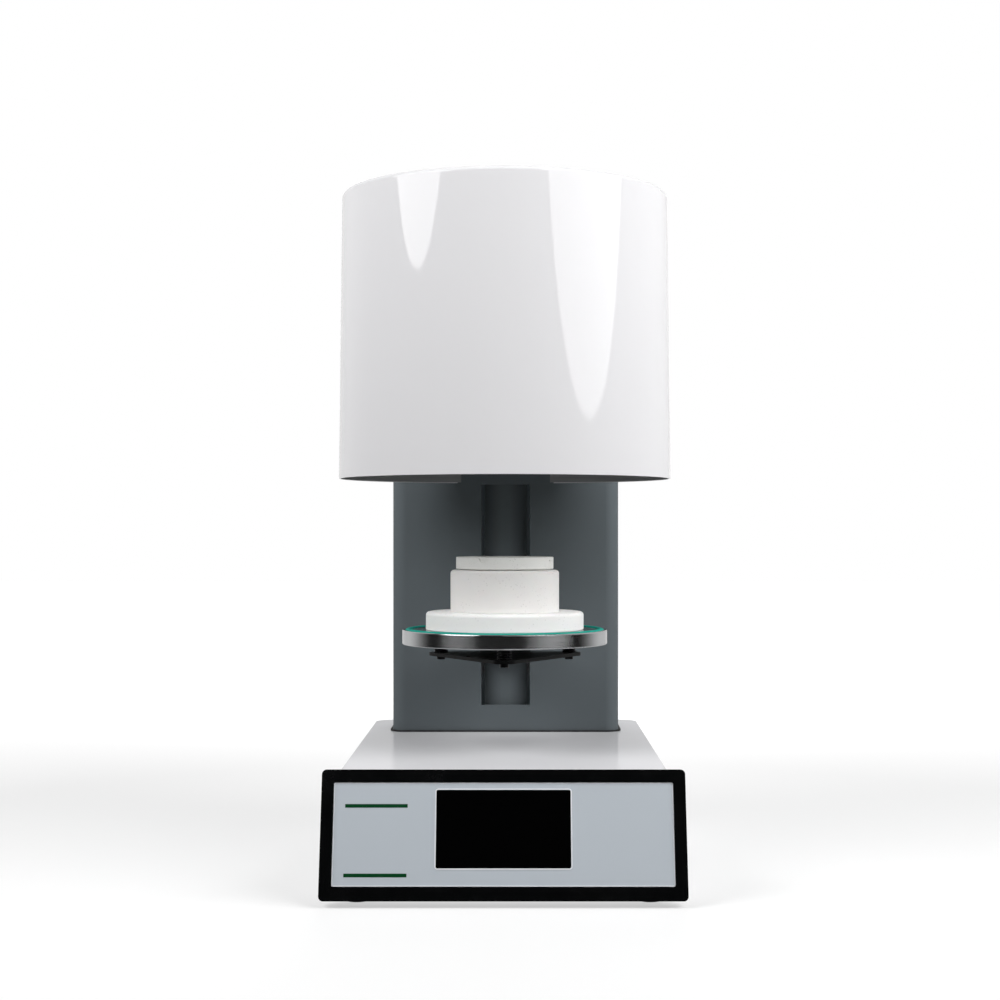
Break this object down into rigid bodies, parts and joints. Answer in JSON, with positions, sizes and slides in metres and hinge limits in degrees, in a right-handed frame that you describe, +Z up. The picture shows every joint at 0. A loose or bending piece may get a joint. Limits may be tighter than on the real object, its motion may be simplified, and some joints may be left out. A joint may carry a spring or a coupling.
{
  "type": "dental lab furnace",
  "caption": "Bench-top dental ceramic furnace with a drum-shaped firing head on a column, a rising plate with a round firing table, and a leaning screen on a low base.",
  "frame": {"origin": "centre of the whole part's outline on the bench, the hose nipple included", "axes": "+Z up, -Y towards the user and the screen, +X to the user's right"},
  "size_m": [0.302, 0.466, 0.6105],
  "materials": {
    "white_enamel": "glossy white enamel",
    "column_grey": "satin dark grey powder coat",
    "pan_grey": "satin dark grey paint",
    "bezel_black": "gloss black",
    "panel_silver": "satin silver-blue",
    "screen_black": "polished black glass",
    "rubber_black": "matt black rubber",
    "zinc_steel": "zinc-plated sheet steel",
    "rim_steel": "turned and brushed stainless steel",
    "rod_steel": "ground and polished steel",
    "block_aluminium": "milled aluminium",
    "nut_bronze": "machined bronze",
    "arm_black": "satin black paint",
    "bolt_black": "black oxide",
    "seal_teal": "moulded teal silicone",
    "fibre_white": "matt pressed ceramic fibre",
    "table_grey": "matt fired ceramic",
    "quartz_wall": "smooth fused quartz",
    "coil_alloy": "oxidised heating alloy",
    "black_plastic": "moulded black plastic",
    "rocker_red": "gloss red plastic",
    "board_green": "circuit board",
    "core_tape": "taped winding",
    "terminal_white": "glazed steatite"
  },
  "bodies": {
    "housing": {"base_pan": "zinc_steel", "base_cover": "white_enamel", "front_bezel": "bezel_black", "front_panel": "panel_silver", "screen_glass": "screen_black", "display_module": "board_green", "control_board": "board_green", "transformer": "core_tape", "solid_state_relay": "black_plastic", "rubber_feet": "rubber_black", "rear_panel": "column_grey", "power_inlet": "black_plastic", "switch_frame": "black_plastic", "fuse_holders": "black_plastic", "pump_outlet": "black_plastic", "hose_nipple": "nut_bronze", "vacuum_valve": "zinc_steel", "vacuum_hose": "rubber_black", "fan_frame": "black_plastic", "column_shell": "column_grey", "column_rear_cover": "column_grey", "column_top_cap": "column_grey", "column_gasket": "rubber_black", "slot_cover": "column_grey", "tower_spine": "zinc_steel", "guide_rods": "rod_steel", "lower_bearing_block": "block_aluminium", "upper_bearing_block": "block_aluminium", "limit_switches": "black_plastic", "lift_motor": "arm_black", "motor_mount": "zinc_steel", "head_frame": "zinc_steel", "head_base": "pan_grey", "head_cover": "white_enamel", "chamber_flange": "rim_steel", "chamber_can": "zinc_steel", "chamber_lid": "block_aluminium", "insulation_ring": "fibre_white", "chamber_insulation": "fibre_white", "muffle": "quartz_wall", "heating_coil": "coil_alloy", "thermocouple": "terminal_white", "heater_terminals": "terminal_white"},
    "carriage": {"carriage_block": "block_aluminium", "rod_bushings": "rod_steel", "lift_nut": "nut_bronze", "lift_arm": "arm_black"},
    "floating_plate": {"adjuster_bolts": "bolt_black", "adjuster_springs": "bolt_black", "lift_plate": "rim_steel", "seal_ring": "seal_teal", "insulation_disc": "fibre_white", "insulation_plug": "fibre_white"},
    "table": {"firing_table": "table_grey"},
    "screw": {"lead_screw": "rod_steel", "shaft_coupling": "block_aluminium", "motor_shaft": "rod_steel"},
    "rocker": {"switch_rocker": "rocker_red"},
    "fan": {"fan_rotor": "black_plastic"}
  },
  "joints": [
    {"name": "plate_lift", "type": "slide", "parent": "housing", "child": "carriage", "axis": [0, 0, 1], "range_m": [-0.0459, 0.1468]},
    {"name": "screw_spin", "type": "hinge", "parent": "housing", "child": "screw", "pos_m": [0, 0.152, 0.1], "axis": [0, 0, 1], "continuous": true},
    {"name": "plate_float", "type": "slide", "parent": "carriage", "child": "floating_plate", "axis": [0, 0, 1], "range_m": [-0.003, 0], "stiffness_N_per_m": 20000, "springref_m": 0.005, "deforming": ["adjuster_springs"]},
    {"name": "table_lift_off", "type": "slide", "parent": "floating_plate", "child": "table", "axis": [0, 0, 1], "range_m": [0, 0.03]},
    {"name": "rocker_tilt", "type": "hinge", "parent": "housing", "child": "rocker", "pos_m": [0.089, 0.2095, 0.08], "axis": [1, 0, 0], "range_deg": [-20, 0]},
    {"name": "fan_spin", "type": "hinge", "parent": "housing", "child": "fan", "pos_m": [-0.09, 0.2, 0.056], "axis": [0, 1, 0], "continuous": true}
  ],
  "couplings": [
    {"joint": "screw_spin", "follows": "plate_lift", "rad_per_m": -1570.8}
  ]
}
